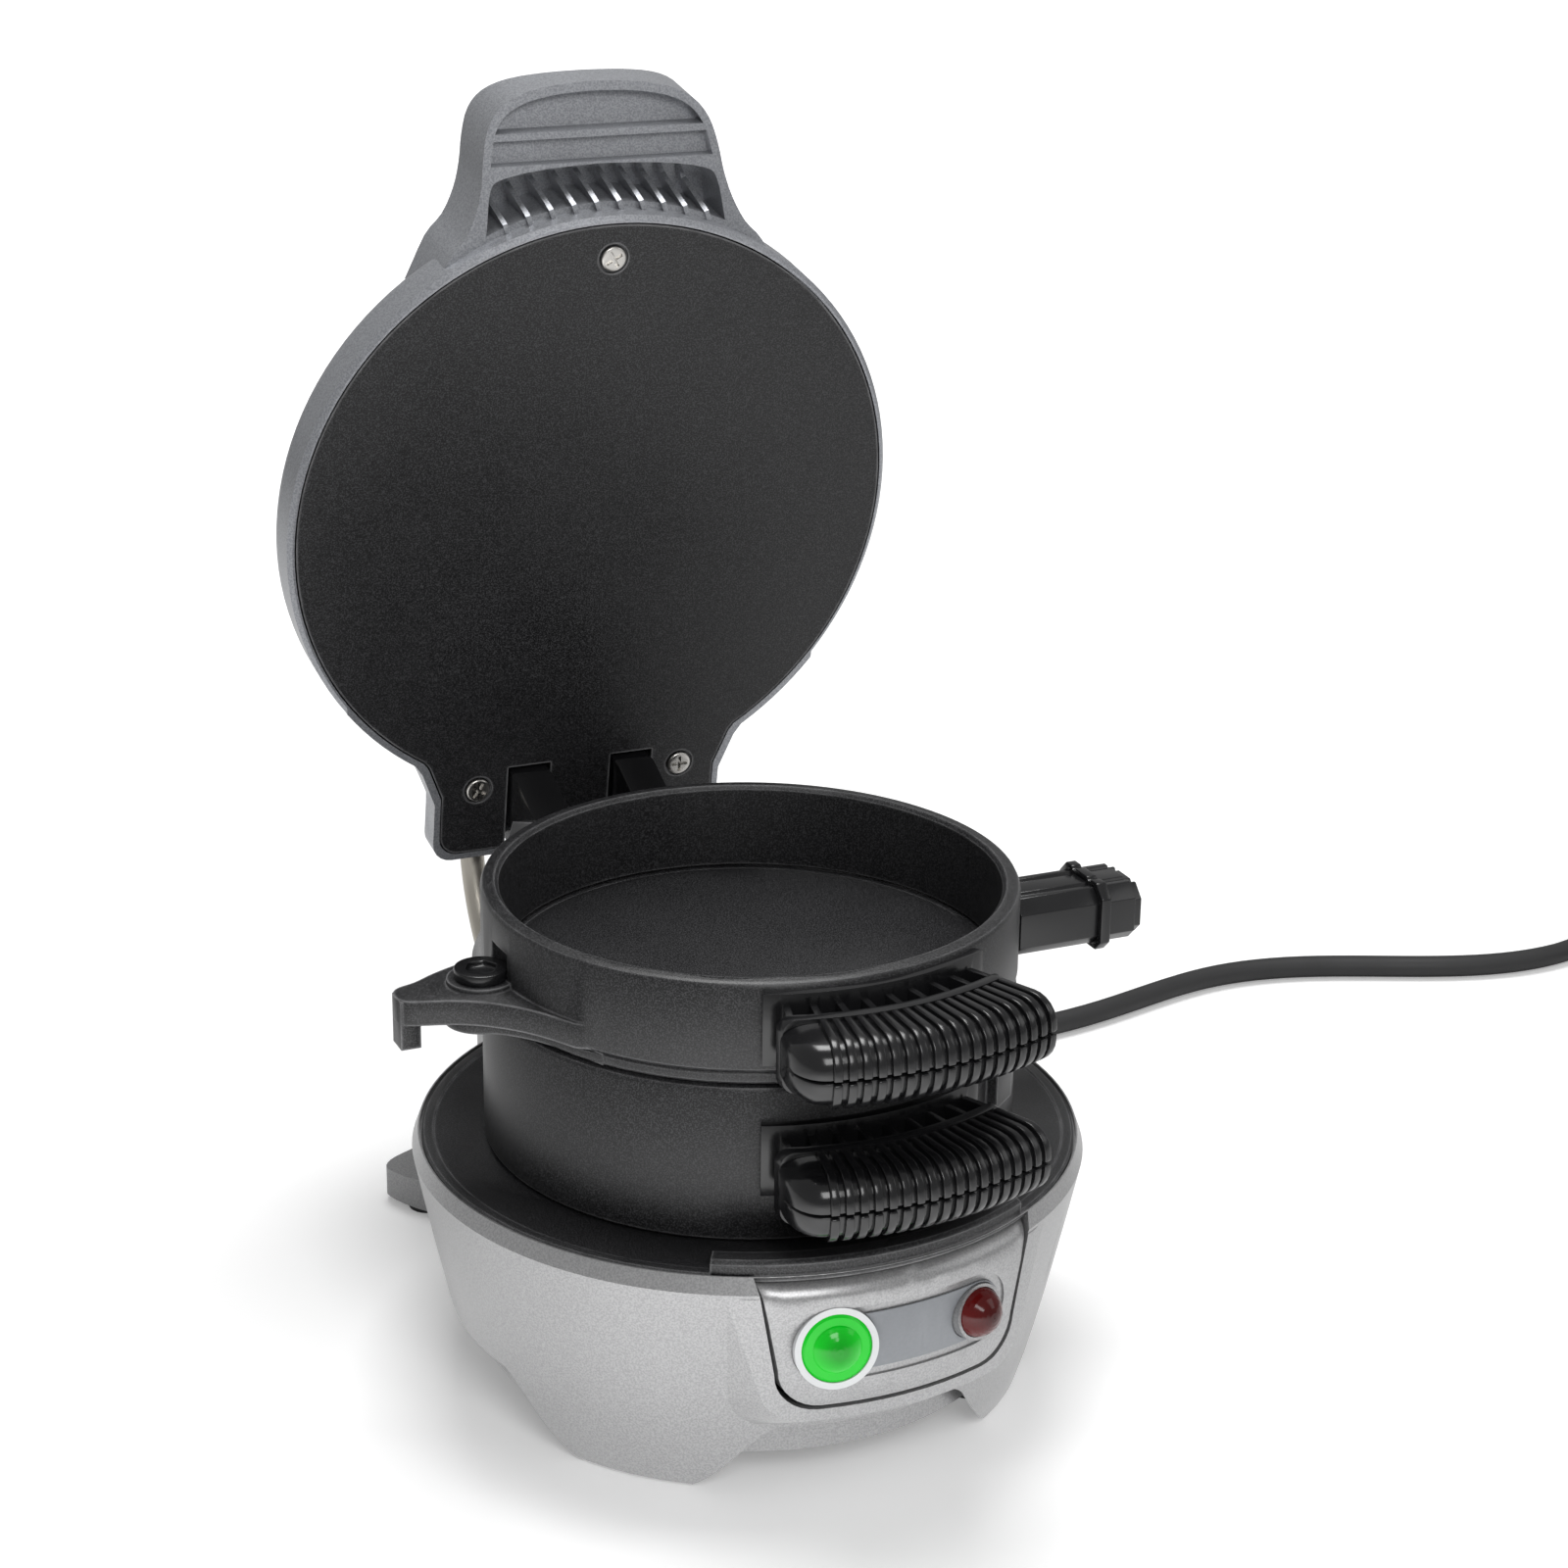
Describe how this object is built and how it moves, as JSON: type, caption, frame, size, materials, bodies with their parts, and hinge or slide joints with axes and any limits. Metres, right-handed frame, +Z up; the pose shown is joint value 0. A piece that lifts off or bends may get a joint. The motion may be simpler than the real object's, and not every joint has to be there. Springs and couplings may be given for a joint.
{
  "type": "ring sandwich maker",
  "caption": "Round electric sandwich maker with stacking rings, a swing-out cooking plate between them and a hinged heated lid, on a low base with indicator lamps and a cord.",
  "frame": {"origin": "on the table, under the centre of the rings", "axes": "+Z up, -Y towards the control panel, hinge axis along X at +Y"},
  "size_m": [0.4914, 0.232, 0.2753],
  "materials": {
    "silver_shell": "metallic silver moulded shell",
    "black_plastic": "black moulded plastic",
    "nonstick": "cast aluminium with speckled black non-stick coating",
    "steel": "bright steel",
    "chrome_tube": "polished conduit",
    "rubber": "black rubber",
    "cord_rubber": "black cord sheath",
    "green_glass": "translucent green lens",
    "red_glass": "translucent dark red lens",
    "white_ring": "pale lamp bezel",
    "grey_plate": "bare grey name plate",
    "element_steel": "heat-tinted sheath",
    "ceramic": "off-white insulator",
    "circuit_board": "green board",
    "brass": "plug blades"
  },
  "bodies": {
    "base": {"base_shell": "silver_shell", "bottom_cover": "black_plastic", "rubber_feet": "rubber", "panel_gasket": "black_plastic", "control_panel": "silver_shell", "panel_plate": "grey_plate", "green_bezel": "white_ring", "green_lens": "green_glass", "red_bezel": "silver_shell", "red_lens": "red_glass", "lamp_board": "circuit_board", "lower_plate": "nonstick", "lower_element": "element_steel", "thermostat": "ceramic", "terminal_block": "ceramic", "hinge_block": "black_plastic", "lid_pin": "steel", "base_screws": "steel", "strain_relief": "rubber", "cord_tube": "cord_rubber", "cord_coil": "cord_rubber", "plug_body": "cord_rubber", "plug_blades": "brass"},
    "lid": {"lid_shell": "silver_shell", "lid_plate": "nonstick", "lid_screws": "steel", "hinge_arms": "black_plastic", "conduits": "chrome_tube", "upper_element": "element_steel"},
    "yoke": {"ring_yoke": "nonstick", "ring_pins": "steel"},
    "lower_ring_body": {"lower_ring": "nonstick", "lower_bracket": "black_plastic", "lower_grip": "black_plastic", "lower_handle_screws": "steel"},
    "upper_ring_body": {"upper_ring": "nonstick", "upper_bracket": "black_plastic", "upper_grip": "black_plastic", "upper_handle_screws": "steel", "pivot_screw": "black_plastic"},
    "plate_body": {"cooking_plate": "nonstick", "plate_handle": "black_plastic", "plate_collar": "black_plastic"}
  },
  "joints": [
    {"name": "lid_hinge", "type": "hinge", "parent": "base", "child": "lid", "pos_m": [0, 0.08, 0.0877], "axis": [1, 0, 0], "range_deg": [0, 79.5]},
    {"name": "ring_lift_off", "type": "slide", "parent": "base", "child": "yoke", "axis": [0, 0, -1], "range_m": [-0.01, 0]},
    {"name": "lower_ring_hinge", "type": "hinge", "parent": "yoke", "child": "lower_ring_body", "pos_m": [0, 0.08, 0.0877], "axis": [1, 0, 0], "range_deg": [-36, 0]},
    {"name": "upper_ring_hinge", "type": "hinge", "parent": "lower_ring_body", "child": "upper_ring_body", "pos_m": [0, 0.08, 0.0877], "axis": [1, 0, 0], "range_deg": [-36, 0]},
    {"name": "cooking_plate_swing", "type": "hinge", "parent": "upper_ring_body", "child": "plate_body", "pos_m": [-0.06296, -0.0022, 0.094], "axis": [0, 0, -1], "range_deg": [0, 97]}
  ]
}
